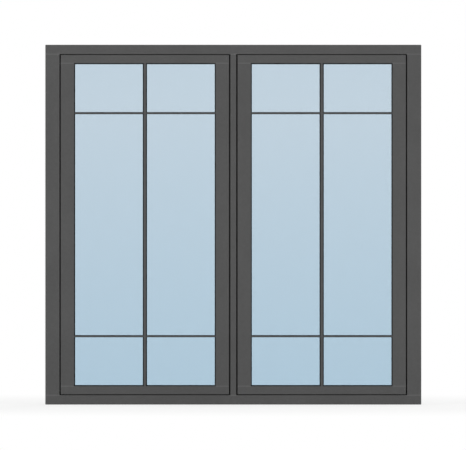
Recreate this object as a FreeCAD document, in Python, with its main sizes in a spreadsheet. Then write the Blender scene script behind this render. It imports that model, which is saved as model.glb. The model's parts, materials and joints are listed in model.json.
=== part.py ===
import FreeCAD, Part
import os
import Sketcher

# Steel framed window: a fixed outer frame with a mullion, and two side-hung casements shown shut.
# Millimetres. X runs along the window, +Y from outside to inside, +Z up.
# The origin is the middle of the sill's underside, at half the frame's depth.

doc = FreeCAD.newDocument("steel_window")

# Driving dimensions

sizes = doc.addObject("Spreadsheet::Sheet", "sizes")
driving_sizes = [
    ("frame_width", "1254", "outer frame, left to right"),
    ("frame_height", "1200", "outer frame, underside of sill to top of head"),
    ("frame_depth", "60", "outer frame, outside face to inside face"),
    ("jamb_face", "47.3", "width of a jamb's box section, seen from outside"),
    ("head_face", "31.3", "height of the head's box section"),
    ("sill_face", "31.3", "height of the sill's box section"),
    ("mullion_face", "20.2", "width of the mullion's box section"),
    ("frame_wall", "2", "wall of the frame's sections"),
    ("stop_reach", "11", "how far a stop flange stands past its box section"),
    ("stop_thickness", "5", "thickness of the stop flange"),
    ("frame_arris", "2", "rounding of the frame's outer edges and the mullion's outside edges"),
    ("side_gap", "4", "running gap beside a casement"),
    ("end_gap", "2.6", "running gap above and below a casement"),
    ("stile_face", "44.6", "width of a stile with its glazing flange"),
    ("rail_face", "27.5", "height of a rail with its glazing flange"),
    ("glazing_flange", "12", "how far the glazing flange covers the glass edge"),
    ("flange_thickness", "4", "thickness of the glazing flange and of the bars on it"),
    ("sash_wall", "2", "wall of the casement's sections"),
    ("sash_arris", "1.2", "rounding of the casement's outer edges"),
    ("seal_thickness", "4", "weather seal between the casement and the stop"),
    ("seal_width", "5", "width of the weather seal"),
    ("seal_setback", "1.5", "weather seal behind the edge of the stop"),
    ("outer_gasket_thickness", "4", "rubber between flange and glass"),
    ("inner_gasket_thickness", "4", "rubber between glass and bead"),
    ("gasket_lip", "3.3", "rubber that shows past the flange and the bead"),
    ("glass_edge_gap", "4", "space round the glass inside the casement"),
    ("pane_thickness", "4", "one sheet of glass"),
    ("pane_cavity", "16", "space between the two sheets"),
    ("spacer_width", "6", "width of the spacer seen square on"),
    ("spacer_setback", "2", "spacer from the edge of the glass"),
    ("block_length", "80", "setting block under the glass"),
    ("block_inset", "110", "middle of a setting block from the edge of the glass"),
    ("bead_face", "12", "height of a glazing bead over the glass"),
    ("bead_wall", "1.5", "wall of the bead's section"),
    ("bead_setback", "3", "glazing bead behind the casement's inside face"),
    ("upright_bar_face", "7.2", "width of an upright glazing bar"),
    ("upright_bar_lip", "3.4", "rubber that shows beside an upright bar"),
    ("cross_bar_face", "4", "height of a cross bar"),
    ("cross_bar_lip", "1.5", "rubber that shows above and below a cross bar"),
    ("inner_bar_thickness", "5", "thickness of the bars on the inside"),
    ("end_light", "159.7", "clear height of the top and bottom lights"),
    ("pivot_diameter", "16", "bearing disc of a casement's pivot"),
    ("pivot_inset", "14", "pivot's axis from the hinge edge of the casement"),
    ("pivot_setback", "13", "pivot's axis from the outside face"),
    ("fixing_hole", "8.5", "hole for a frame screw"),
    ("fixing_spacing", "600", "distance between the two screws of one side"),
    ("plate_width", "20", "handle plate"),
    ("plate_length", "130", "handle plate"),
    ("plate_thickness", "8", "handle plate"),
    ("plate_corner", "6", "handle plate's corners"),
    ("plate_rounding", "2", "handle plate's front edges"),
    ("plate_margin", "3", "handle plate from the edge of the stop"),
    ("neck_diameter", "15", "handle's neck"),
    ("neck_length", "20", "handle's neck, plate to lever"),
    ("neck_rise", "30", "neck's axis above the middle of the plate"),
    ("lever_width", "17", "handle's lever"),
    ("lever_thickness", "11", "handle's lever"),
    ("lever_length", "115", "neck's axis to the end of the lever"),
    ("lever_corner", "8", "lever's corners"),
    ("lever_rounding", "3.5", "lever's front and back edges"),
]
for row, (alias, number, note) in enumerate(driving_sizes, start=1):
    sizes.set(f"A{row}", note)
    sizes.set(f"B{row}", number)
    sizes.setAlias(f"B{row}", alias)
doc.recompute()

# Sizes and places that follow from the driving dimensions

layout = doc.addObject("Spreadsheet::Sheet", "layout")
derived_sizes = [
    ("outside", "-sizes.frame_depth / 2"),
    ("inside", "sizes.frame_depth / 2"),
    ("stop_front", "inside - sizes.stop_thickness"),
    ("sash_inside", "stop_front - sizes.seal_thickness"),
    ("opening_width", "(sizes.frame_width - 2 * sizes.jamb_face - sizes.mullion_face) / 2"),
    ("opening_height", "sizes.frame_height - sizes.head_face - sizes.sill_face"),
    ("sash_width", "opening_width - 2 * sizes.side_gap"),
    ("sash_height", "opening_height - 2 * sizes.end_gap"),
    ("sash_x", "(sizes.mullion_face + opening_width) / 2"),
    ("sash_z", "sizes.sill_face + opening_height / 2"),
    ("stile_box", "sizes.stile_face - sizes.glazing_flange"),
    ("rail_box", "sizes.rail_face - sizes.glazing_flange"),
    ("rebate_width", "sash_width - 2 * stile_box"),
    ("rebate_height", "sash_height - 2 * rail_box"),
    ("sight_width", "sash_width - 2 * sizes.stile_face"),
    ("sight_height", "sash_height - 2 * sizes.rail_face"),
    ("pane_width", "rebate_width - 2 * sizes.glass_edge_gap"),
    ("pane_height", "rebate_height - 2 * sizes.glass_edge_gap"),
    ("spacer_width_out", "pane_width - 2 * sizes.spacer_setback"),
    ("spacer_height_out", "pane_height - 2 * sizes.spacer_setback"),
    ("outer_gasket_y", "outside + sizes.flange_thickness"),
    ("outer_glass_y", "outer_gasket_y + sizes.outer_gasket_thickness"),
    ("cavity_y", "outer_glass_y + sizes.pane_thickness"),
    ("inner_glass_y", "cavity_y + sizes.pane_cavity"),
    ("inner_gasket_y", "inner_glass_y + sizes.pane_thickness"),
    ("bead_y", "inner_gasket_y + sizes.inner_gasket_thickness"),
    ("bead_depth", "sash_inside - sizes.bead_setback - bead_y"),
    ("unit_depth", "inner_gasket_y - outer_glass_y"),
    ("bead_sight_width", "rebate_width - 2 * sizes.bead_face"),
    ("bead_sight_height", "rebate_height - 2 * sizes.bead_face"),
    ("upright_bedding", "sizes.upright_bar_face + 2 * sizes.upright_bar_lip"),
    ("cross_bedding", "sizes.cross_bar_face + 2 * sizes.cross_bar_lip"),
    ("cross_bar_z", "sight_height / 2 - sizes.gasket_lip - sizes.end_light - cross_bedding / 2"),
    ("seal_margin", "sizes.stop_reach - sizes.seal_setback - sizes.seal_width"),
    ("seal_width_out", "opening_width - 2 * seal_margin"),
    ("seal_height_out", "opening_height - 2 * seal_margin"),
    ("handle_x", "sizes.mullion_face / 2 + sizes.stop_reach + sizes.plate_margin + sizes.plate_width / 2"),
    ("neck_y", "sash_inside + sizes.plate_thickness"),
]
for row, (alias, formula) in enumerate(derived_sizes, start=1):
    layout.set(f"A{row}", alias)
    layout.set(f"B{row}", "=" + formula)
    layout.setAlias(f"B{row}", alias)
doc.recompute()

nodes = []


def value(expression):
    """The number that an expression on the two sheets stands for."""
    return float(sizes.evalExpression(expression))


def place(item, x="0", y="0", z="0", turn=0):
    """Turns an object about Y by a fixed angle and binds its position to expressions."""
    rotation = FreeCAD.Rotation(FreeCAD.Vector(0, 1, 0), turn)
    item.Placement = FreeCAD.Placement(FreeCAD.Vector(0, 0, 0), rotation)
    for axis, expression in zip("xyz", (x, y, z)):
        item.setExpression(f"Placement.Base.{axis}", expression)


def new_body(label):
    """A body that becomes one node."""
    body = doc.addObject("PartDesign::Body", label)
    body.Label = label
    nodes.append(body)
    return body


def new_sketch(body, role, name):
    """A sketch on one of the body's own origin planes."""
    sketch = body.newObject("Sketcher::SketchObject", f"{body.Name}_{name}")
    plane = next(f for f in body.Origin.OriginFeatures if f.Role == role)
    sketch.AttachmentSupport = (plane, [""])
    sketch.MapMode = "FlatFace"
    return sketch


def bind_point(sketch, geometry, point, x, y):
    """Holds a point of the sketch at x, y from its origin, both given as expressions."""
    for kind, expression in (("DistanceX", x), ("DistanceY", y)):
        constraint = Sketcher.Constraint(kind, -1, 1, geometry, point, value(expression))
        index = sketch.addConstraint(constraint)
        sketch.setExpression(f"Constraints[{index}]", expression)


def add_rectangle(sketch, left, right, bottom, top):
    """A closed rectangle whose four sides follow expressions."""
    x0, x1, y0, y1 = (value(side) for side in (left, right, bottom, top))
    corners = [FreeCAD.Vector(*corner) for corner in ((x0, y0), (x1, y0), (x1, y1), (x0, y1))]
    first = sketch.GeometryCount
    for start, end in zip(corners, corners[1:] + corners[:1]):
        sketch.addGeometry(Part.LineSegment(start, end))
    for side in range(4):
        following = first + (side + 1) % 4
        sketch.addConstraint(Sketcher.Constraint("Coincident", first + side, 2, following, 1))
        level = "Horizontal" if side % 2 == 0 else "Vertical"
        sketch.addConstraint(Sketcher.Constraint(level, first + side))
    bind_point(sketch, first, 1, left, bottom)
    bind_point(sketch, first + 1, 2, right, top)


def add_circle(sketch, x, y, diameter):
    """A circle whose centre and diameter follow expressions."""
    centre = FreeCAD.Vector(value(x), value(y))
    circle = sketch.addGeometry(Part.Circle(centre, FreeCAD.Vector(0, 0, 1), value(diameter) / 2))
    bind_point(sketch, circle, 3, x, y)
    index = sketch.addConstraint(Sketcher.Constraint("Diameter", circle, value(diameter)))
    sketch.setExpression(f"Constraints[{index}]", diameter)


def add_length(body, kind, sketch, length, side="Symmetric", backwards=False):
    """A Pad or Pocket of a sketch by a length that follows an expression."""
    feature = body.newObject(f"PartDesign::{kind}", f"{sketch.Name}_{kind.lower()}")
    feature.Profile = sketch
    feature.SideType = side
    feature.Reversed = backwards
    feature.setExpression("Length", length)
    doc.recompute()
    return feature


def round_edges(body, name, wanted, radius):
    """Rounds the edges of the body's last feature that the test accepts."""
    base = body.Tip
    names = [f"Edge{i}" for i, edge in enumerate(base.Shape.Edges, start=1) if wanted(edge)]
    fillet = body.newObject("PartDesign::Fillet", f"{body.Name}_{name}")
    fillet.Base = (base, names)
    fillet.setExpression("Radius", radius)
    doc.recompute()


AXIS_X, AXIS_Y, AXIS_Z = (FreeCAD.Vector(*unit) for unit in ((1, 0, 0), (0, 1, 0), (0, 0, 1)))
SAME_PLACE = 1e-6


def runs_along(edge, axis):
    """True for a straight edge along one of the body's axes."""
    ends = [vertex.Point for vertex in edge.Vertexes]
    if len(ends) != 2 or not isinstance(edge.Curve, Part.Line):
        return False
    along = (ends[1] - ends[0]).normalize()
    return abs(abs(along.dot(axis)) - 1) < SAME_PLACE


def outer_arris(face, length, runs_through):
    """A test for the edges round the back of a section: local X = 0, and its ends where they show."""
    half_length = value(length) / 2
    box_face = value(face)

    def wanted(edge):
        middle = edge.CenterOfMass
        at_back = abs(middle.x) < SAME_PLACE
        at_end = abs(abs(middle.z) - half_length) < SAME_PLACE
        if at_back and runs_along(edge, AXIS_Z):
            return True
        if not runs_through or not at_end:
            return False
        if at_back and runs_along(edge, AXIS_Y):
            return True
        return runs_along(edge, AXIS_X) and abs(middle.x - box_face / 2) < SAME_PLACE

    return wanted


def hollow_section(label, face, depth, wall, arris, length, runs_through):
    """A box section along local Z, its back at local X = 0. One that runs through has closed ends."""
    body = new_body(label)
    outside, inside = depth
    outline = new_sketch(body, "XY_Plane", "box")
    add_rectangle(outline, "0", face, outside, inside)
    add_length(body, "Pad", outline, length)
    round_edges(body, "arris", outer_arris(face, length, runs_through), arris)
    core = new_sketch(body, "XY_Plane", "core")
    add_rectangle(core, wall, f"{face} - {wall}", f"{outside} + {wall}", f"{inside} - {wall}")
    core_length = f"{length} - 2 * {wall}" if runs_through else length
    add_length(body, "Pocket", core, core_length)
    return body


def add_flange(body, name, x_from, x_to, y_from, y_to, length):
    """A flat flange along the section, shorter than it where neighbours meet."""
    sketch = new_sketch(body, "XY_Plane", name)
    add_rectangle(sketch, x_from, x_to, y_from, y_to)
    add_length(body, "Pad", sketch, length)


def add_fixing_holes(body):
    """Two screw holes right through the section, square to the wall it is fixed to."""
    sketch = new_sketch(body, "YZ_Plane", "fixings")
    for end in ("-", ""):
        add_circle(sketch, "0", f"{end}sizes.fixing_spacing / 2", "sizes.fixing_hole")
    holes = body.newObject("PartDesign::Pocket", f"{sketch.Name}_pocket")
    holes.Profile = sketch
    holes.SideType = "Symmetric"
    holes.Type = "ThroughAll"
    doc.recompute()


# Outer frame

def frame_member(label, face, length, stop_length, runs_through):
    """One side of the outer frame: a box section with its stop flange at the inside."""
    depth = ("layout.outside", "layout.inside")
    body = hollow_section(label, face, depth, "sizes.frame_wall", "sizes.frame_arris", length, runs_through)
    stop_edge = f"{face} + sizes.stop_reach"
    add_flange(body, "stop", face, stop_edge, "layout.stop_front", "layout.inside", stop_length)
    add_fixing_holes(body)
    return body


def level_frame_member(label, face):
    """Head or sill: it runs the full width, and its stop is notched round the mullion."""
    clear_width = "sizes.frame_width - 2 * sizes.jamb_face"
    body = frame_member(label, face, "sizes.frame_width", clear_width, True)
    notch = new_sketch(body, "XY_Plane", "notch")
    reach = f"{face} + sizes.stop_reach"
    add_rectangle(notch, face, reach, "layout.stop_front", "layout.inside")
    add_length(body, "Pocket", notch, "sizes.mullion_face")
    return body


stop_between = "layout.opening_height - 2 * sizes.stop_reach"
place(level_frame_member("frame_sill", "sizes.sill_face"), turn=-90)
place(level_frame_member("frame_head", "sizes.head_face"), z="sizes.frame_height", turn=90)
for side, turn, sign in (("left", 0, "-"), ("right", 180, "")):
    label = f"frame_{side}_jamb"
    jamb = frame_member(label, "sizes.jamb_face", "layout.opening_height", stop_between, False)
    place(jamb, x=f"{sign}sizes.frame_width / 2", z="layout.sash_z", turn=turn)


def outside_upright(edge):
    """True for an upright edge in the outside face of the window."""
    in_face = abs(edge.CenterOfMass.y - value("layout.outside")) < SAME_PLACE
    return in_face and runs_along(edge, AXIS_Z)


mullion = new_body("frame_mullion")
half_mullion = "sizes.mullion_face / 2"
mullion_box = new_sketch(mullion, "XY_Plane", "box")
add_rectangle(mullion_box, f"-{half_mullion}", half_mullion, "layout.outside", "layout.inside")
add_length(mullion, "Pad", mullion_box, "layout.opening_height")
round_edges(mullion, "arris", outside_upright, "sizes.frame_arris")
mullion_core = new_sketch(mullion, "XY_Plane", "core")
add_rectangle(
    mullion_core,
    f"-{half_mullion} + sizes.frame_wall",
    f"{half_mullion} - sizes.frame_wall",
    "layout.outside + sizes.frame_wall",
    "layout.inside - sizes.frame_wall",
)
add_length(mullion, "Pocket", mullion_core, "layout.opening_height")
stop_edge = f"({half_mullion} + sizes.stop_reach)"
stop_depth = ("layout.stop_front", "layout.inside")
add_flange(mullion, "left_stop", f"-{stop_edge}", f"-{half_mullion}", *stop_depth, stop_between)
add_flange(mullion, "right_stop", half_mullion, stop_edge, *stop_depth, stop_between)
place(mullion, z="layout.sash_z")


# Casements

def sash_member(label, face, box, length, flange_length, runs_through):
    """One side of a casement: a box section with its glazing flange at the outside."""
    depth = ("layout.outside", "layout.sash_inside")
    body = hollow_section(label, box, depth, "sizes.sash_wall", "sizes.sash_arris", length, runs_through)
    add_flange(body, "flange", box, face, "layout.outside", "layout.outer_gasket_y", flange_length)
    return body


def sash_frame(side, sash_x, hinge_on_left):
    """The two rails, which run through, and the two stiles between them."""
    half_height = "layout.sash_height / 2"
    for name, turn, sign in (("bottom", -90, "-"), ("top", 90, "+")):
        rail = sash_member(
            f"{side}_sash_{name}_rail",
            "sizes.rail_face",
            "layout.rail_box",
            "layout.sash_width",
            "layout.rebate_width",
            True,
        )
        place(rail, x=sash_x, z=f"layout.sash_z {sign} {half_height}", turn=turn)
    left_name, right_name = ("hinge", "lock") if hinge_on_left else ("lock", "hinge")
    for name, turn, sign in ((left_name, 0, "-"), (right_name, 180, "+")):
        stile = sash_member(
            f"{side}_sash_{name}_stile",
            "sizes.stile_face",
            "layout.stile_box",
            "layout.rebate_height",
            "layout.sight_height",
            False,
        )
        place(stile, x=f"{sash_x} {sign} layout.sash_width / 2", z="layout.sash_z", turn=turn)


def centred_box(name, wide, deep, high, x, y, z):
    """A plain box centred on x and z, with its outside face at y."""
    box = doc.addObject("Part::Box", name)
    for prop, expression in (("Length", wide), ("Width", deep), ("Height", high)):
        box.setExpression(prop, expression)
    place(box, x=f"{x} - ({wide}) / 2", y=y, z=f"{z} - ({high}) / 2")
    return box


def node_from(item, label):
    """Makes an object a node of its own."""
    item.Label = label
    nodes.append(item)


def node_of_several(label, items):
    """Makes one node of like solids that don't touch."""
    group = doc.addObject("Part::Compound", label)
    group.Links = items
    node_from(group, label)


def glass_unit(side, sash_x):
    """Two sheets of glass, a spacer with a bar behind each glazing bar, and blocks to stand on."""
    for name, y in (("outer", "layout.outer_glass_y"), ("inner", "layout.inner_glass_y")):
        label = f"{side}_{name}_glass"
        size = ("layout.pane_width", "sizes.pane_thickness", "layout.pane_height")
        node_from(centred_box(label, *size, sash_x, y, "layout.sash_z"), label)
    outside_size = ("layout.spacer_width_out", "layout.spacer_height_out")
    lights_size = [f"{size} - 2 * sizes.spacer_width" for size in outside_size]
    bar_widths = ("sizes.upright_bar_face", "sizes.cross_bar_face")
    spacer = (f"{side}_glass_spacer", outside_size, lights_size, bar_widths)
    six_light_frame(*spacer, "sizes.pane_cavity", sash_x, "layout.cavity_y")
    blocks = []
    block_size = ("sizes.block_length", "layout.unit_depth", "sizes.glass_edge_gap")
    block_z = "(layout.sash_z - (layout.rebate_height - sizes.glass_edge_gap) / 2)"
    for name, sign in (("left", "-"), ("right", "+")):
        x = f"({sash_x} {sign} (layout.pane_width / 2 - sizes.block_inset))"
        blocks.append(centred_box(f"{side}_{name}_block", *block_size, x, "layout.outer_glass_y", block_z))
    node_of_several(f"{side}_setting_blocks", blocks)


def flat_ring(label, outside_size, inside_size, thickness, sash_x, y):
    """A flat rectangular ring that stands upright, its outside face at y."""
    body = new_body(label)
    sketch = new_sketch(body, "XZ_Plane", "ring")
    for wide, high in (outside_size, inside_size):
        add_rectangle(sketch, f"-({wide}) / 2", f"({wide}) / 2", f"-({high}) / 2", f"({high}) / 2")
    add_length(body, "Pad", sketch, thickness, "One side", True)
    place(body, x=sash_x, y=y, z="layout.sash_z")


def six_light_frame(label, outside_size, lights_size, bar_widths, thickness, sash_x, y):
    """A flat frame with an upright and two cross bars, so it is pierced by the six lights."""
    body = new_body(label)
    sketch = new_sketch(body, "XZ_Plane", "lights")
    edge_x, edge_z = (f"({size}) / 2" for size in outside_size)
    far_x, far_z = (f"({size}) / 2" for size in lights_size)
    near_x, half_bar = (f"{width} / 2" for width in bar_widths)
    over_bar = f"(layout.cross_bar_z + {half_bar})"
    under_bar = f"(layout.cross_bar_z - {half_bar})"
    add_rectangle(sketch, f"-{edge_x}", edge_x, f"-{edge_z}", edge_z)
    for left, right in ((f"-{far_x}", f"-{near_x}"), (near_x, far_x)):
        add_rectangle(sketch, left, right, over_bar, far_z)
        add_rectangle(sketch, left, right, f"-{under_bar}", under_bar)
        add_rectangle(sketch, left, right, f"-{far_z}", f"-{over_bar}")
    add_length(body, "Pad", sketch, thickness, "One side", True)
    place(body, x=sash_x, y=y, z="layout.sash_z")


def bar_gasket(label, sight_size, thickness, sash_x, y):
    """Rubber between the glass and what holds it, which shows as a lip round each light."""
    outside_size = ("layout.pane_width", "layout.pane_height")
    lights_size = [f"{size} - 2 * sizes.gasket_lip" for size in sight_size]
    bedding = ("layout.upright_bedding", "layout.cross_bedding")
    six_light_frame(label, outside_size, lights_size, bedding, thickness, sash_x, y)


def glazing_bars(side, layer, sight_width, sight_height, thickness, sash_x, y):
    """One upright bar, and two cross bars in halves that butt against it."""
    upright = f"{side}_{layer}_upright_bar"
    size = ("sizes.upright_bar_face", thickness, sight_height)
    node_from(centred_box(upright, *size, sash_x, y, "layout.sash_z"), upright)
    half_length = f"({sight_width} - sizes.upright_bar_face) / 2"
    from_middle = f"({sight_width} + sizes.upright_bar_face) / 4"
    halves = []
    for row, up in (("lower", "-"), ("upper", "+")):
        for column, along in (("left", "-"), ("right", "+")):
            name = f"{side}_{layer}_{row}_{column}_bar"
            x = f"({sash_x} {along} {from_middle})"
            z = f"(layout.sash_z {up} layout.cross_bar_z)"
            halves.append(centred_box(name, half_length, thickness, "sizes.cross_bar_face", x, y, z))
    node_of_several(f"{side}_{layer}_cross_bars", halves)


def hollow_bead(name, wide, high, along_x, x, z):
    """A glazing bead: a small box section against the casement, its ends closed by what it meets."""
    deep = "layout.bead_depth"
    bead = centred_box(f"{name}_outside", wide, deep, high, x, "layout.bead_y", z)
    thinner = "2 * sizes.bead_wall"
    core_wide = wide if along_x else f"{wide} - {thinner}"
    core_high = f"{high} - {thinner}" if along_x else high
    core_size = (core_wide, f"{deep} - {thinner}", core_high)
    core = centred_box(f"{name}_core", *core_size, x, "layout.bead_y + sizes.bead_wall", z)
    section = doc.addObject("Part::Cut", name)
    section.Base = bead
    section.Tool = core
    return section


def glazing_beads(side, sash_x):
    """The level beads run between the stiles, and the upright beads between the level ones."""
    level, upright = [], []
    level_size = ("layout.rebate_width", "sizes.bead_face")
    upright_size = ("sizes.bead_face", "layout.bead_sight_height")
    for name, sign in (("lower", "-"), ("upper", "+")):
        z = f"(layout.sash_z {sign} (layout.rebate_height - sizes.bead_face) / 2)"
        level.append(hollow_bead(f"{side}_{name}_bead", *level_size, True, sash_x, z))
    for name, sign in (("left", "-"), ("right", "+")):
        x = f"({sash_x} {sign} (layout.rebate_width - sizes.bead_face) / 2)"
        upright.append(hollow_bead(f"{side}_{name}_bead", *upright_size, False, x, "layout.sash_z"))
    node_of_several(f"{side}_level_beads", level)
    node_of_several(f"{side}_upright_beads", upright)


def weather_seal(side, sash_x):
    """A rubber ring on the stop, which the shut casement presses on."""
    outside_size = ("layout.seal_width_out", "layout.seal_height_out")
    inside_size = [f"{size} - 2 * sizes.seal_width" for size in outside_size]
    seal = (f"{side}_weather_seal", outside_size, inside_size)
    flat_ring(*seal, "sizes.seal_thickness", sash_x, "layout.sash_inside")


def pivots(side, sash_x, hinge_sign):
    """A bearing disc in the gap under the casement and one above it, near its hinge edge."""
    discs = []
    x = f"{sash_x} {hinge_sign} (layout.sash_width / 2 - sizes.pivot_inset)"
    ends = (("lower", "sizes.sill_face"), ("upper", "sizes.frame_height - sizes.head_face - sizes.end_gap"))
    for name, z in ends:
        disc = doc.addObject("Part::Cylinder", f"{side}_{name}_pivot")
        disc.setExpression("Radius", "sizes.pivot_diameter / 2")
        disc.setExpression("Height", "sizes.end_gap")
        place(disc, x=x, y="layout.outside + sizes.pivot_setback", z=z)
        discs.append(disc)
    node_of_several(f"{side}_pivots", discs)


def across(edge):
    """True for a straight edge that runs from outside to inside."""
    return runs_along(edge, AXIS_Y)


def level_with(*depths):
    """A test for edges that lie in a face at one of the given depths in their body."""
    faces = [value(depth) for depth in depths]

    def lies_in_face(edge):
        depth = edge.Vertexes[0].Y
        return not across(edge) and any(abs(depth - face) < SAME_PLACE for face in faces)

    return lies_in_face


def handle(side, handle_x):
    """A narrow plate on the lock stile's inside, with a lever that hangs down when shut."""
    plate = new_body(f"{side}_handle_plate")
    sketch = new_sketch(plate, "XZ_Plane", "outline")
    half_width, half_length = "sizes.plate_width / 2", "sizes.plate_length / 2"
    add_rectangle(sketch, f"-{half_width}", half_width, f"-{half_length}", half_length)
    add_length(plate, "Pad", sketch, "sizes.plate_thickness", "One side", True)
    round_edges(plate, "corners", across, "sizes.plate_corner")
    round_edges(plate, "front", level_with("sizes.plate_thickness"), "sizes.plate_rounding")
    place(plate, x=handle_x, y="layout.sash_inside", z="layout.sash_z")

    lever = new_body(f"{side}_handle_lever")
    grip = new_sketch(lever, "XZ_Plane", "grip")
    grip.setExpression("AttachmentOffset.Base.z", "-sizes.neck_length")
    half_lever = "sizes.lever_width / 2"
    add_rectangle(grip, f"-{half_lever}", half_lever, "-sizes.lever_length", half_lever)
    add_length(lever, "Pad", grip, "sizes.lever_thickness", "One side", True)
    round_edges(lever, "corners", across, "sizes.lever_corner")
    grip_faces = level_with("sizes.neck_length", "sizes.neck_length + sizes.lever_thickness")
    round_edges(lever, "grip_edges", grip_faces, "sizes.lever_rounding")
    neck = new_sketch(lever, "XZ_Plane", "neck")
    add_circle(neck, "0", "0", "sizes.neck_diameter")
    add_length(lever, "Pad", neck, "sizes.neck_length + sizes.lever_thickness / 2", "One side", True)
    place(lever, x=handle_x, y="layout.neck_y", z="layout.sash_z + sizes.neck_rise")


def casement(side, sash_x, hinge_on_left):
    """Every piece of one casement, and the seal and pivots that hold it in the frame."""
    outer_sight = ("layout.sight_width", "layout.sight_height")
    inner_sight = ("layout.bead_sight_width", "layout.bead_sight_height")
    sash_frame(side, sash_x, hinge_on_left)
    glass_unit(side, sash_x)
    for layer, sight_size in (("outer", outer_sight), ("inner", inner_sight)):
        thickness = f"sizes.{layer}_gasket_thickness"
        bar_gasket(f"{side}_{layer}_gasket", sight_size, thickness, sash_x, f"layout.{layer}_gasket_y")
    glazing_bars(side, "outer", *outer_sight, "sizes.flange_thickness", sash_x, "layout.outside")
    glazing_bars(side, "inner", *inner_sight, "sizes.inner_bar_thickness", sash_x, "layout.bead_y")
    glazing_beads(side, sash_x)
    weather_seal(side, sash_x)
    pivots(side, sash_x, "-" if hinge_on_left else "+")
    handle(side, "-layout.handle_x" if hinge_on_left else "layout.handle_x")


casement("left", "-layout.sash_x", True)
casement("right", "layout.sash_x", False)
doc.recompute()

# Nothing is written unless every object is sound

for item in doc.Objects:
    if "Invalid" in item.State or "Error" in item.State:
        raise RuntimeError(f"{item.Name} failed: {item.State}")
for node in nodes:
    if node.Shape.isNull() or not node.Shape.isValid() or not node.Shape.Solids:
        raise RuntimeError(f"{node.Label} has no sound solid")

os.makedirs("parts", exist_ok=True)
for node in nodes:
    node.Shape.exportStep(f"parts/{node.Label}.step")
    print(f"{node.Label}: {len(node.Shape.Solids)} solids, {node.Shape.Volume / 1000:.1f} cm3")
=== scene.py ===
# %% [markdown]
# A steel framed window
#
# The real object is a welded frame of dark grey steel sections with a slim post in the middle and a shut
# casement on each side of it. Thin bars divide the glass of each casement into six lights. The solids come
# from the CAD model, each at its true place and size, so this lesson dresses them: first the camera, then
# one finish after another, then the small fasteners, and at last the floor and the light.

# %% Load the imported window
import json
import math

import bmesh
import bpy
from mathutils import Matrix, Vector


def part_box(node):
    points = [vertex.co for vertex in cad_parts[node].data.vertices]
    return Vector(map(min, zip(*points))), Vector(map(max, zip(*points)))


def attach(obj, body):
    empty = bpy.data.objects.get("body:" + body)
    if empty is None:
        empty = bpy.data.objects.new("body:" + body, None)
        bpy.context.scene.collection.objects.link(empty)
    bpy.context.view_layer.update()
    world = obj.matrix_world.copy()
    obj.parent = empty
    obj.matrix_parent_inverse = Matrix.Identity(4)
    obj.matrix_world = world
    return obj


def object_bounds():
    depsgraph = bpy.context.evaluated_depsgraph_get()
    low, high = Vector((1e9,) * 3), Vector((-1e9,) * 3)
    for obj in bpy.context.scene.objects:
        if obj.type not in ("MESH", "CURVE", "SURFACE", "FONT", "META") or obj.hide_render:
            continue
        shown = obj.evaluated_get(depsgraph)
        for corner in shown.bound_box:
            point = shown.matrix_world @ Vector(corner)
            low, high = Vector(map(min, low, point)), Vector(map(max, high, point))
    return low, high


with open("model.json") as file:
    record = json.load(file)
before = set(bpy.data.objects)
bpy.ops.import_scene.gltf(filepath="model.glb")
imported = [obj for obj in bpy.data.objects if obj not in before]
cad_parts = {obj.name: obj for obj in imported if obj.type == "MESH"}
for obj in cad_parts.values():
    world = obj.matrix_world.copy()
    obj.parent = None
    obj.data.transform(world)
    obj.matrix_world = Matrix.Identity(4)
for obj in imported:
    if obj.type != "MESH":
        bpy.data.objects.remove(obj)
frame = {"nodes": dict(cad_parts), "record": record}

cad_low, cad_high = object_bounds()
print(len(frame["nodes"]), "solids, from", tuple(cad_low), "to", tuple(cad_high))

# %% [markdown]
# The camera
#
# The picture looks square at the outside of the window, and no side face shows. A long lens from far away
# gives that nearly flat view and still works as a normal camera when it is moved round the window. Its
# distance follows from the size of the outline in the picture: 376 of the image's 466 pixels are the width
# of the frame. The picture's inner lines lie a part of a pixel right of and above the middle of its outline,
# so the camera stands that much to the left and lower.

# %% Set the camera square to the outside face
IMAGE_WIDTH = 466
OUTLINE_WIDTH = 376
PIXELS_RIGHT, PIXELS_UP = 0.3, 0.35
LENS_MM = 800.0
SENSOR_MM = 36.0

view_width = (cad_high.x - cad_low.x) * IMAGE_WIDTH / OUTLINE_WIDTH
camera_distance = view_width * LENS_MM / SENSOR_MM
middle_height = (cad_low.z + cad_high.z) / 2
pixel = view_width / IMAGE_WIDTH

camera_data = bpy.data.cameras.new("front_camera")
camera_data.lens = LENS_MM
camera_data.sensor_width = SENSOR_MM
camera = bpy.data.objects.new("front_camera", camera_data)
camera.location.x = -PIXELS_RIGHT * pixel
camera.location.y = cad_low.y - camera_distance
camera.location.z = middle_height - PIXELS_UP * pixel
camera.rotation_euler = (math.pi / 2, 0.0, 0.0)
bpy.context.scene.collection.objects.link(camera)
bpy.context.scene.camera = camera
print("camera", round(camera_distance, 2), "m from the outside face")

# %% [markdown]
# Tools for the finishes
#
# Every finish is a small tree of shader nodes. Three helpers keep the trees short to read: one turns a colour
# as an artist writes it, in sRGB hex, into the linear numbers that light is reckoned in, one starts an empty
# finish, and one adds a node with its settings and feeds its inputs.

# %% Make the colour and node helpers
MM = 0.001


def linear(hex_colour):
    """The linear RGBA of an sRGB colour such as #808080."""
    channels = [int(hex_colour[i : i + 2], 16) / 255 for i in (1, 3, 5)]
    light = [c / 12.92 if c <= 0.04045 else ((c + 0.055) / 1.055) ** 2.4 for c in channels]
    return (*light, 1.0)


def new_finish(name):
    """An empty material and its node tree."""
    material = bpy.data.materials.new(name)
    material.use_nodes = True
    material.node_tree.nodes.clear()
    return material, material.node_tree


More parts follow.
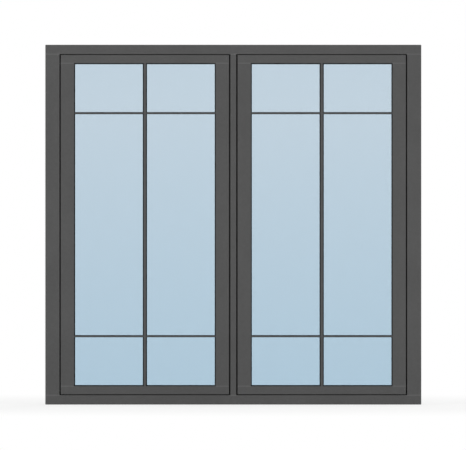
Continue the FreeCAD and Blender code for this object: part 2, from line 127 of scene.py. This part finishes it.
def add_node(tree, kind, inputs=None, **settings):
    """One new node. An input is a plain value, or the socket that feeds it."""
    node = tree.nodes.new(kind)
    for name, setting in settings.items():
        setattr(node, name, setting)
    for name, given in (inputs or {}).items():
        if isinstance(given, bpy.types.NodeSocket):
            tree.links.new(given, node.inputs[name])
        else:
            node.inputs[name].default_value = given
    return node


print("mid grey in linear light:", round(linear("#808080")[0], 3))

# %% [markdown]
# Powder coat on the steel
#
# The sections are sprayed with dry polyester powder and baked. The melt levels out to a satin skin with a
# faint orange peel, so the grey is even, a little cloudy, and dull in its reflections. A noise texture in
# object coordinates runs over all members alike, which is right for a coat sprayed on the finished frame.
# Dust settles on ledges that face up, so those get a trace of a paler tone.
#
# The members are welded where they butt, and the weld is ground flush. The coat is thinner there, which
# leaves a faint pale line across each jamb and stile. Modelling a groove for it would be wrong, since the
# steel is flat, so the line is mixed into the coat by place: at the height of the joint, and only beyond the
# edge of the opening that the members enclose. A casement's joint lies lower outside, where its glazing
# flange meets, so the place follows the way that the surface faces.

# %% Find the weld seams
SEAM_REACH = 2 * MM


def half_width(name):
    """Half the width of a solid."""
    low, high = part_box(name)
    return (high.x - low.x) / 2


def end_height(name):
    """How far above the window's middle a solid ends."""
    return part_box(name)[1].z - middle_height


casement_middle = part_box("right_level_beads")[0].x + half_width("right_level_beads")
frame_seam = (end_height("frame_left_jamb"), half_width("left_sash_top_rail"))
flange_seam = (end_height("left_outer_upright_bar"), half_width("left_outer_cross_bars"))
stile_seam = (end_height("left_sash_hinge_stile"), half_width("left_level_beads"))
for height, edge in (frame_seam, flange_seam, stile_seam):
    print("seam", round(height, 4), "m from the middle, beyond", round(edge, 4), "m")


def seam_mask(tree, place, facing, outside_seam, inside_seam):
    """A socket that is 1 on the weld seams: each has a height from the middle and an opening's edge."""
    seam_height, opening_edge = (
        add_node(
            tree,
            "ShaderNodeMapRange",
            {"Value": facing.outputs["Y"], "From Min": -1.0, "To Min": outside, "To Max": inside},
        ).outputs[0]
        for outside, inside in zip(outside_seam, inside_seam)
    )
    spot = add_node(tree, "ShaderNodeSeparateXYZ", {0: place})
    height = add_node(tree, "ShaderNodeMath", {0: spot.outputs["Z"], 1: middle_height}, operation="SUBTRACT")
    height = add_node(tree, "ShaderNodeMath", {0: height.outputs[0]}, operation="ABSOLUTE")
    off_seam = add_node(tree, "ShaderNodeMath", {0: height.outputs[0], 1: seam_height}, operation="SUBTRACT")
    off_seam = add_node(tree, "ShaderNodeMath", {0: off_seam.outputs[0]}, operation="ABSOLUTE")
    line = add_node(
        tree,
        "ShaderNodeMapRange",
        {"Value": off_seam.outputs[0], "From Max": SEAM_REACH, "To Min": 1.0, "To Max": 0.0},
    )
    across = add_node(tree, "ShaderNodeMath", {0: spot.outputs["X"]}, operation="ABSOLUTE")
    across = add_node(
        tree,
        "ShaderNodeMath",
        {0: across.outputs[0], 1: casement_middle},
        operation="SUBTRACT",
    )
    across = add_node(tree, "ShaderNodeMath", {0: across.outputs[0]}, operation="ABSOLUTE")
    beside = add_node(
        tree,
        "ShaderNodeMath",
        {0: across.outputs[0], 1: opening_edge},
        operation="GREATER_THAN",
    )
    mask = add_node(tree, "ShaderNodeMath", {0: line.outputs[0], 1: beside.outputs[0]}, operation="MULTIPLY")
    return mask.outputs[0]


# %% Mix the powder coat
PEEL_SIZE = 9 * MM  # the real peel is about 2 mm, drawn coarser so that it shows at this picture size
PEEL_DEPTH = 0.15 * MM
CLOUD_SIZE = 140 * MM
TONE_LOW, TONE_HIGH = 0.7, 1.3  # between these the two noises together run from dark to pale
LEDGE_FACING = 0.85  # a face that looks up more than this holds dust
DUST_SHARE = 0.08


def coat_steel(name, outside_seam, inside_seam):
    """A powder coat over steel with weld seams at the given places."""
    coat, tree = new_finish(name)
    place = add_node(tree, "ShaderNodeTexCoord").outputs["Object"]
    peel = add_node(
        tree,
        "ShaderNodeTexNoise",
        {"Vector": place, "Scale": 1 / PEEL_SIZE, "Detail": 2.0, "Roughness": 0.5},
    ).outputs["Fac"]
    cloud = add_node(
        tree,
        "ShaderNodeTexNoise",
        {"Vector": place, "Scale": 1 / CLOUD_SIZE, "Detail": 3.0, "Roughness": 0.55},
    ).outputs["Fac"]
    tone = add_node(tree, "ShaderNodeMath", {0: cloud, 1: peel}, operation="ADD").outputs[0]
    tone = add_node(
        tree,
        "ShaderNodeMapRange",
        {"Value": tone, "From Min": TONE_LOW, "From Max": TONE_HIGH},
    ).outputs[0]
    grey = add_node(
        tree,
        "ShaderNodeMix",
        {0: tone, 6: linear("#434343"), 7: linear("#494949")},
        data_type="RGBA",
    ).outputs[2]

    normal = add_node(tree, "ShaderNodeNewGeometry").outputs["Normal"]
    facing = add_node(tree, "ShaderNodeSeparateXYZ", {0: normal})
    seam = seam_mask(tree, place, facing, outside_seam, inside_seam)
    seamed_grey = add_node(
        tree,
        "ShaderNodeMix",
        {0: seam, 6: grey, 7: linear("#5e5e5e")},
        data_type="RGBA",
    ).outputs[2]

    dust = add_node(
        tree,
        "ShaderNodeMapRange",
        {"Value": facing.outputs["Z"], "From Min": LEDGE_FACING, "From Max": 1.0, "To Max": DUST_SHARE},
    ).outputs[0]
    dust = add_node(tree, "ShaderNodeMath", {0: dust, 1: cloud}, operation="MULTIPLY").outputs[0]
    dusty_grey = add_node(
        tree,
        "ShaderNodeMix",
        {0: dust, 6: seamed_grey, 7: linear("#a09e9a")},
        data_type="RGBA",
    ).outputs[2]

    dullness = add_node(tree, "ShaderNodeMapRange", {"Value": peel, "To Min": 0.46, "To Max": 0.6}).outputs[0]
    skin = add_node(
        tree,
        "ShaderNodeBump",
        {"Height": peel, "Strength": 0.25, "Distance": PEEL_DEPTH},
    ).outputs[0]
    shader = add_node(
        tree,
        "ShaderNodeBsdfPrincipled",
        {"Base Color": dusty_grey, "Roughness": dullness, "Normal": skin, "Specular IOR Level": 0.3},
    )
    add_node(tree, "ShaderNodeOutputMaterial", {"Surface": shader.outputs[0]})
    print("made", name)
    return coat


frame_coat = coat_steel("polyester_powder_coat_frame", frame_seam, frame_seam)
casement_coat = coat_steel("polyester_powder_coat_casement", flange_seam, stile_seam)

# %% [markdown]
# Glass
#
# Each unit is two sheets of float glass with a pale blue solar tint. The colour runs from deeper at the sill
# to
# paler at the head: the blue is the glass's own, and the paler head is a painted reflection of a bright sky.
# A
# Principled shader with full transmission bends and mirrors light as glass does. Bent light can't carry a
# lamp's shadow rays, so for those alone the sheet is swapped for a tinted transparent one, and the lamps
# reach the frame and floor behind it.

# %% Tint the float glass and paint a reflection on it
FLOAT_GLASS_IOR = 1.52
# From the first height to the second the glass is painted paler, a painted reflection of a bright sky.
PAINTED_REFLECTION_START, PAINTED_REFLECTION_FULL = 80 * MM, 980 * MM  # heights on the window

float_glass, tree = new_finish("float_glass_blue_tint_and_painted_reflection")
place = add_node(tree, "ShaderNodeTexCoord").outputs["Object"]
height = add_node(tree, "ShaderNodeSeparateXYZ", {0: place}).outputs["Z"]
# How far up the painted reflection has risen, from 0 at the lower height to 1 at the upper.
rise = add_node(
    tree,
    "ShaderNodeMapRange",
    {"Value": height, "From Min": PAINTED_REFLECTION_START, "From Max": PAINTED_REFLECTION_FULL},
).outputs[0]
# The lower colour is the glass's own tint; the paler upper colour adds the painted reflection.
tint_and_painted_reflection = add_node(
    tree,
    "ShaderNodeMix",
    {0: rise, 6: linear("#d0e0ea"), 7: linear("#dce6ed")},
    data_type="RGBA",
).outputs[2]
sheet = add_node(
    tree,
    "ShaderNodeBsdfPrincipled",
    {"Base Color": tint_and_painted_reflection, "Roughness": 0.0, "IOR": FLOAT_GLASS_IOR, "Transmission Weight": 1.0},
)
lamp_sheet = add_node(tree, "ShaderNodeBsdfTransparent", {"Color": linear("#eef4f7")})
from_lamp = add_node(tree, "ShaderNodeLightPath").outputs["Is Shadow Ray"]
pane = add_node(tree, "ShaderNodeMixShader", {0: from_lamp, 1: sheet.outputs[0], 2: lamp_sheet.outputs[0]})
add_node(tree, "ShaderNodeOutputMaterial", {"Surface": pane.outputs[0]})
print("made", float_glass.name)

# %% [markdown]
# Rubber
#
# The gaskets and the weather seal are extruded EPDM: nearly black and matt, with a chalky bloom here and
# there. They are what draws the thin dark lines round the glass and in the gaps, so the specular level is low
# too: fine pores in the rubber swallow most of its shine.

# %% Mix the rubber
BLOOM_SIZE = 25 * MM

rubber, tree = new_finish("epdm_rubber_extruded")
place = add_node(tree, "ShaderNodeTexCoord").outputs["Object"]
bloom = add_node(
    tree,
    "ShaderNodeTexNoise",
    {"Vector": place, "Scale": 1 / BLOOM_SIZE, "Detail": 4.0, "Roughness": 0.6},
).outputs["Fac"]
black = add_node(
    tree,
    "ShaderNodeMix",
    {0: bloom, 6: linear("#0c0e0f"), 7: linear("#1b1f21")},
    data_type="RGBA",
).outputs[2]
dullness = add_node(tree, "ShaderNodeMapRange", {"Value": bloom, "To Min": 0.7, "To Max": 0.85}).outputs[0]
shader = add_node(
    tree,
    "ShaderNodeBsdfPrincipled",
    {"Base Color": black, "Roughness": dullness, "Specular IOR Level": 0.15},
)
add_node(tree, "ShaderNodeOutputMaterial", {"Surface": shader.outputs[0]})
print("made", rubber.name)

# %% [markdown]
# Metals and plastic
#
# The spacer between the sheets is a rolled aluminium strip, anodised grey, with drawing lines along it. The
# screws are stainless steel, with the fine grain of tumbled heads. The pivot discs sit in the gaps above and
# below the casements and are blackened, so they stay as dark as the gap. The blocks under the glass are
# moulded plastic, and the handles are zinc castings with a black satin coat. A metal's colour is its
# reflection, so the bare ones have Metallic at 1 and no other setting for their shine than roughness.
#
# All these grains are drawn coarser than they are on the real things, so that they show in a near view.

# %% Roll the spacer's aluminium
DRAW_LINE = 0.8 * MM
LINE_SQUEEZE = 0.02  # on X and Z, which draws the noise out into lines along the strip

spacer_metal, tree = new_finish("anodised_aluminium_strip")
place = add_node(tree, "ShaderNodeTexCoord").outputs["Object"]
drawn_out = add_node(
    tree,
    "ShaderNodeMapping",
    {"Vector": place, "Scale": (LINE_SQUEEZE, 1.0, LINE_SQUEEZE)},
).outputs[0]
lines = add_node(
    tree,
    "ShaderNodeTexNoise",
    {"Vector": drawn_out, "Scale": 1 / DRAW_LINE, "Detail": 2.0},
).outputs["Fac"]
strip = add_node(
    tree,
    "ShaderNodeMix",
    {0: lines, 6: linear("#54585b"), 7: linear("#6c7073")},
    data_type="RGBA",
).outputs[2]
dullness = add_node(tree, "ShaderNodeMapRange", {"Value": lines, "To Min": 0.36, "To Max": 0.5}).outputs[0]
shader = add_node(
    tree,
    "ShaderNodeBsdfPrincipled",
    {"Base Color": strip, "Metallic": 1.0, "Roughness": dullness},
)
add_node(tree, "ShaderNodeOutputMaterial", {"Surface": shader.outputs[0]})
print("made", spacer_metal.name)

# %% Tumble the screws' steel and blacken the pivots'
STEEL_GRAIN = 1.5 * MM


def bare_steel(name, dark, pale, smoothest, dullest):
    """Steel whose grain runs between two tones and between two levels of roughness."""
    steel, tree = new_finish(name)
    place = add_node(tree, "ShaderNodeTexCoord").outputs["Object"]
    grain = add_node(
        tree,
        "ShaderNodeTexNoise",
        {"Vector": place, "Scale": 1 / STEEL_GRAIN, "Detail": 3.0},
    ).outputs["Fac"]
    tone = add_node(
        tree,
        "ShaderNodeMix",
        {0: grain, 6: linear(dark), 7: linear(pale)},
        data_type="RGBA",
    ).outputs[2]
    dullness = add_node(
        tree,
        "ShaderNodeMapRange",
        {"Value": grain, "To Min": smoothest, "To Max": dullest},
    ).outputs[0]
    shader = add_node(
        tree,
        "ShaderNodeBsdfPrincipled",
        {"Base Color": tone, "Metallic": 1.0, "Roughness": dullness},
    )
    add_node(tree, "ShaderNodeOutputMaterial", {"Surface": shader.outputs[0]})
    print("made", name)
    return steel


stainless = bare_steel("stainless_steel_tumbled", "#8d8f91", "#a6a8aa", 0.28, 0.42)
blackened = bare_steel("steel_black_oxide", "#1d1e20", "#2b2c2f", 0.4, 0.55)

# %% Mould the block plastic
MOULD_GRAIN = 4 * MM

block_plastic, tree = new_finish("polypropylene_moulded")
place = add_node(tree, "ShaderNodeTexCoord").outputs["Object"]
grain = add_node(
    tree,
    "ShaderNodeTexNoise",
    {"Vector": place, "Scale": 1 / MOULD_GRAIN, "Detail": 2.0},
).outputs["Fac"]
black = add_node(
    tree,
    "ShaderNodeMix",
    {0: grain, 6: linear("#222425"), 7: linear("#2c2e30")},
    data_type="RGBA",
).outputs[2]
shader = add_node(tree, "ShaderNodeBsdfPrincipled", {"Base Color": black, "Roughness": 0.6})
add_node(tree, "ShaderNodeOutputMaterial", {"Surface": shader.outputs[0]})
print("made", block_plastic.name)

# %% Coat the handle's castings
CAST_GRAIN = 4 * MM
CAST_DEPTH = 0.1 * MM

handle_coat, tree = new_finish("zinc_casting_black_satin_coat")
place = add_node(tree, "ShaderNodeTexCoord").outputs["Object"]
grain = add_node(
    tree,
    "ShaderNodeTexNoise",
    {"Vector": place, "Scale": 1 / CAST_GRAIN, "Detail": 3.0},
).outputs["Fac"]
black = add_node(
    tree,
    "ShaderNodeMix",
    {0: grain, 6: linear("#191a1b"), 7: linear("#232425")},
    data_type="RGBA",
).outputs[2]
dullness = add_node(tree, "ShaderNodeMapRange", {"Value": grain, "To Min": 0.34, "To Max": 0.48}).outputs[0]
skin = add_node(tree, "ShaderNodeBump", {"Height": grain, "Strength": 0.2, "Distance": CAST_DEPTH}).outputs[0]
shader = add_node(
    tree,
    "ShaderNodeBsdfPrincipled",
    {"Base Color": black, "Roughness": dullness, "Normal": skin},
)
add_node(tree, "ShaderNodeOutputMaterial", {"Surface": shader.outputs[0]})
print("made", handle_coat.name)

# %% [markdown]
# Dress the solids
#
# The record names a material slot for every solid, so one table from slot to finish dresses the whole window
# and no solid can be forgotten. Only the fixed frame differs, with the coat that has its own seams.

# %% Give every solid its finish
finishes = {
    "steel_paint": casement_coat,
    "pane_glass": float_glass,
    "rubber_gasket": rubber,
    "spacer_aluminium": spacer_metal,
    "pivot_steel": blackened,
    "block_plastic": block_plastic,
    "handle_paint": handle_coat,
}
subparts = frame["record"]["subparts"]
for subpart in subparts:
    name = subpart["node"]
    finish = frame_coat if name.startswith("frame_") else finishes[subpart["material_slot"]]
    solid = frame["nodes"][name]
    solid.data.materials.clear()
    solid.data.materials.append(finish)
print("dressed", len(subparts), "solids from", len(finishes), "slots")

# %% [markdown]
# Bead screws
#
# Oval headed screws hold the glazing beads from inside. A head is a disc whose top face is inset a few times,
# each time a little higher, which gives a dome. For its star-shaped recess, every second pair of the top
# face's corners is drawn in, and one more inset pushes the face down into the head. A bmesh inset does all of
# it, and a flat disc with a picture of a recess would look painted on from the side.

# %% Make a screw head
LOBES = 6
CORNERS_PER_LOBE = 4
DRAWN_IN = 0.72
RIM_HEIGHT = 0.12  # this and the sizes below are shares of the head's radius
DOME_STEPS = ((0.18, 0.14), (0.22, 0.08), (0.1, 0.02))
RECESS_EDGE, RECESS_DEPTH = 0.02, 0.3


def add_screw_head(bm, spot, radius, turn):
    """An oval head on a face that looks to +Y, with a six-lobe recess."""
    others = set(bm.verts)
    made = bmesh.ops.create_circle(bm, cap_ends=True, segments=LOBES * CORNERS_PER_LOBE, radius=radius)
    seat = made["verts"][0].link_faces[0]
    raised = bmesh.ops.extrude_face_region(bm, geom=[seat])["geom"]
    top = next(item for item in raised if isinstance(item, bmesh.types.BMFace))
    bmesh.ops.translate(bm, verts=top.verts, vec=(0, 0, RIM_HEIGHT * radius))
    for inset, rise in DOME_STEPS:
        bmesh.ops.inset_region(bm, faces=[top], thickness=inset * radius, depth=rise * radius)
    pairs = [vert for i, vert in enumerate(top.verts) if i % CORNERS_PER_LOBE < CORNERS_PER_LOBE / 2]
    bmesh.ops.scale(bm, verts=pairs, vec=(DRAWN_IN, DRAWN_IN, 1))
    bmesh.ops.inset_region(bm, faces=[top], thickness=RECESS_EDGE * radius, depth=-RECESS_DEPTH * radius)
    head = [vert for vert in bm.verts if vert not in others]
    stand = Matrix.Rotation(-math.pi / 2, 4, "X") @ Matrix.Rotation(turn, 4, "Z")
    bmesh.ops.transform(bm, matrix=Matrix.Translation(spot) @ stand, verts=head)


def finish_piece(bm, name, finish):
    """Makes the bmesh a piece of the window at the origin."""
    bmesh.ops.recalc_face_normals(bm, faces=bm.faces)
    mesh = bpy.data.meshes.new(name)
    bm.to_mesh(mesh)
    bm.free()
    mesh.materials.append(finish)
    piece = bpy.data.objects.new(name, mesh)
    bpy.context.scene.collection.objects.link(piece)
    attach(piece, "root")
    print("made", name, "with", len(mesh.polygons), "faces")


# %% Screw down the beads
BEAD_SCREW_RADIUS = 3.4 * MM
SCREW_TURN = 0.7  # radians from one screw to the next, since no two are driven home alike
HALF_BEAD = 6 * MM
LEVEL_SCREWS = (-190 * MM, 0.0, 190 * MM)
UPRIGHT_SCREWS = (-470 * MM, -235 * MM, 0.0, 235 * MM, 470 * MM)

for side in ("left", "right"):
    bm = bmesh.new()
    low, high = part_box(f"{side}_level_beads")
    middle = (low + high) / 2
    spots = []
    for z in (low.z + HALF_BEAD, high.z - HALF_BEAD):
        spots += [Vector((middle.x + along, high.y, z)) for along in LEVEL_SCREWS]
    for x in (low.x + HALF_BEAD, high.x - HALF_BEAD):
        spots += [Vector((x, high.y, middle.z + along)) for along in UPRIGHT_SCREWS]
    for count, spot in enumerate(spots):
        add_screw_head(bm, spot, BEAD_SCREW_RADIUS, SCREW_TURN * count)
    finish_piece(bm, f"{side}_bead_screws", stainless)

# %% [markdown]
# Handle fittings
#
# Two screws hold each handle's plate, and a turned collar hides the joint where the lever's neck enters it.
# The collar is round, so its section is drawn once as a few points and spun about the neck's axis.

# %% Fit the handles
PLATE_SCREW_RADIUS = 3.6 * MM
PLATE_SCREW_SPAN = 52 * MM  # from the plate's middle
COLLAR_SECTION = ((7.0, 0.0), (9.4, 0.0), (9.4, 1.4), (8.8, 2.3), (7.6, 2.6), (7.0, 2.6))  # in mm
COLLAR_STEPS = 40
MERGE_DISTANCE = 0.01 * MM

for side in ("left", "right"):
    low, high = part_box(f"{side}_handle_plate")
    middle = (low + high) / 2
    bm = bmesh.new()
    for count, along in enumerate((-PLATE_SCREW_SPAN, PLATE_SCREW_SPAN)):
        spot = Vector((middle.x, high.y, middle.z + along))
        add_screw_head(bm, spot, PLATE_SCREW_RADIUS, SCREW_TURN * count)
    finish_piece(bm, f"{side}_plate_screws", stainless)

    lever_low, lever_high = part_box(f"{side}_handle_lever")
    neck_height = lever_high.z - (lever_high.x - lever_low.x) / 2
    bm = bmesh.new()
    axis_point = Vector((middle.x, high.y, neck_height))
    section = [bm.verts.new(axis_point + Vector((r * MM, y * MM, 0))) for r, y in COLLAR_SECTION]
    ring = [bm.edges.new((section[i - 1], section[i])) for i in range(len(section))]
    bmesh.ops.spin(
        bm,
        geom=section + ring,
        cent=axis_point,
        axis=(0, 1, 0),
        angle=2 * math.pi,
        steps=COLLAR_STEPS,
        use_merge=True,
    )
    bmesh.ops.remove_doubles(bm, verts=bm.verts, dist=MERGE_DISTANCE)
    finish_piece(bm, f"{side}_neck_collar", handle_coat)

# %% [markdown]
# Floor
#
# The window stands on a pale floor that has to read as white as the picture's background and still hold a
# soft shadow. Rays that show it to the eye see mostly white light with a share of the lit floor in it, which
# fades out away from the window, so no horizon shows. All other rays see plain pale paint, so the floor
# throws no more light on the window than paint would.

# %% Tell the rays to the eye from the rest
def rays_to_eye(tree):
    """A socket that is 1 on rays from the camera, off a shiny face and through glass."""
    path = add_node(tree, "ShaderNodeLightPath")
    seen = path.outputs["Is Camera Ray"]
    for ray in ("Is Glossy Ray", "Is Transmission Ray"):
        either = {0: seen, 1: path.outputs[ray]}
        seen = add_node(tree, "ShaderNodeMath", either, operation="MAXIMUM").outputs[0]
    return seen


# %% Lay the floor
FLOOR_HALF_SIZE = 60.0
FLOOR_GAP = 0.5 * MM
MOTTLE_SIZE = 500 * MM
WHITE_NEAR = 0.7
WHITE_FROM, WHITE_TO = 1.0, 2.4  # metres from the window

floor_paint, tree = new_finish("matt_floor_paint_pale")
place = add_node(tree, "ShaderNodeTexCoord").outputs["Object"]
mottle = add_node(
    tree,
    "ShaderNodeTexNoise",
    {"Vector": place, "Scale": 1 / MOTTLE_SIZE, "Detail": 3.0},
).outputs["Fac"]
pale = add_node(
    tree,
    "ShaderNodeMix",
    {0: mottle, 6: linear("#f2f2f1"), 7: linear("#f6f6f5")},
    data_type="RGBA",
).outputs[2]
paint = add_node(tree, "ShaderNodeBsdfDiffuse", {"Color": pale}).outputs[0]
white = add_node(tree, "ShaderNodeEmission", {"Color": (1, 1, 1, 1), "Strength": 1.0}).outputs[0]
away = add_node(tree, "ShaderNodeVectorMath", {0: place}, operation="LENGTH").outputs["Value"]
whiteness = add_node(
    tree,
    "ShaderNodeMapRange",
    {"Value": away, "From Min": WHITE_FROM, "From Max": WHITE_TO, "To Min": WHITE_NEAR, "To Max": 1.0},
    interpolation_type="SMOOTHSTEP",
).outputs[0]
seen = rays_to_eye(tree)
share = add_node(tree, "ShaderNodeMath", {0: seen, 1: whiteness}, operation="MULTIPLY").outputs[0]
floor_mix = add_node(tree, "ShaderNodeMixShader", {0: share, 1: paint, 2: white})
add_node(tree, "ShaderNodeOutputMaterial", {"Surface": floor_mix.outputs[0]})

bm = bmesh.new()
bmesh.ops.create_grid(bm, x_segments=1, y_segments=1, size=FLOOR_HALF_SIZE)
floor_mesh = bpy.data.meshes.new("floor")
bm.to_mesh(floor_mesh)
bm.free()
floor_mesh.materials.append(floor_paint)
floor = bpy.data.objects.new("floor", floor_mesh)
floor.location.z = cad_low.z - FLOOR_GAP
bpy.context.scene.collection.objects.link(floor)
print("floor at", round(floor.location.z, 4))

# %% [markdown]
# Light
#
# A pale room and four soft boxes light the window at a plain level, so a colour looks about as it is written.
# Two of them stand to the left and right of the camera, as for the copy of a painting, and light the steel
# evenly. The room is white to the eye, in mirrors and through glass, and dimmer as a light.
#
# Seen from one side, a pane would mirror a soft box as a hard white square, or show one that stands behind
# it. A photographer would hang black cloth against that. Here the boxes are hidden from rays that have passed
# the glass, and light linking keeps them off the panes, while all other pieces take highlights from them.

# %% Light the room
ROOM_LIGHT = 0.55

world = bpy.data.worlds.new("pale_room")
world.use_nodes = True
tree = world.node_tree
tree.nodes.clear()
seen = rays_to_eye(tree)
strength = add_node(
    tree,
    "ShaderNodeMapRange",
    {"Value": seen, "To Min": ROOM_LIGHT, "To Max": 1.0},
).outputs[0]
room = add_node(tree, "ShaderNodeBackground", {"Color": (1, 1, 1, 1), "Strength": strength})
add_node(tree, "ShaderNodeOutputWorld", {"Surface": room.outputs[0]})
bpy.context.scene.world = world
print("room at", ROOM_LIGHT)

# %% Shield the panes
shielded_panes = bpy.data.collections.new("shielded_panes")
for subpart in subparts:
    if subpart["material_slot"] == "pane_glass":
        shielded_panes.objects.link(frame["nodes"][subpart["node"]])
for pane in shielded_panes.collection_objects:
    pane.light_linking.link_state = "EXCLUDE"

# %% Set up the soft boxes
# each with its place in metres, the length of its side in metres, and its watts
SOFT_BOXES = {
    "front_left_soft_box": ((-3.4, -5.2, 0.7), 1.2, 90.0),
    "front_right_soft_box": ((3.4, -5.2, 0.7), 1.2, 75.0),
    "back_soft_box": ((1.6, 6.0, 2.4), 4.0, 120.0),
    "top_soft_box": ((0.0, -0.6, 5.5), 4.0, 85.0),
}
aim = Vector((0.0, 0.0, middle_height))
for name, (spot, size, watts) in SOFT_BOXES.items():
    lamp_data = bpy.data.lights.new(name, "AREA")
    lamp_data.size = size
    lamp_data.energy = watts
    lamp = bpy.data.objects.new(name, lamp_data)
    lamp.location = spot
    lamp.rotation_euler = (aim - Vector(spot)).to_track_quat("-Z", "Y").to_euler()
    lamp.visible_transmission = False
    lamp.light_linking.receiver_collection = shielded_panes
    bpy.context.scene.collection.objects.link(lamp)
print("set up", len(SOFT_BOXES), "soft boxes")

bpy.context.scene.view_settings.view_transform = "Standard"
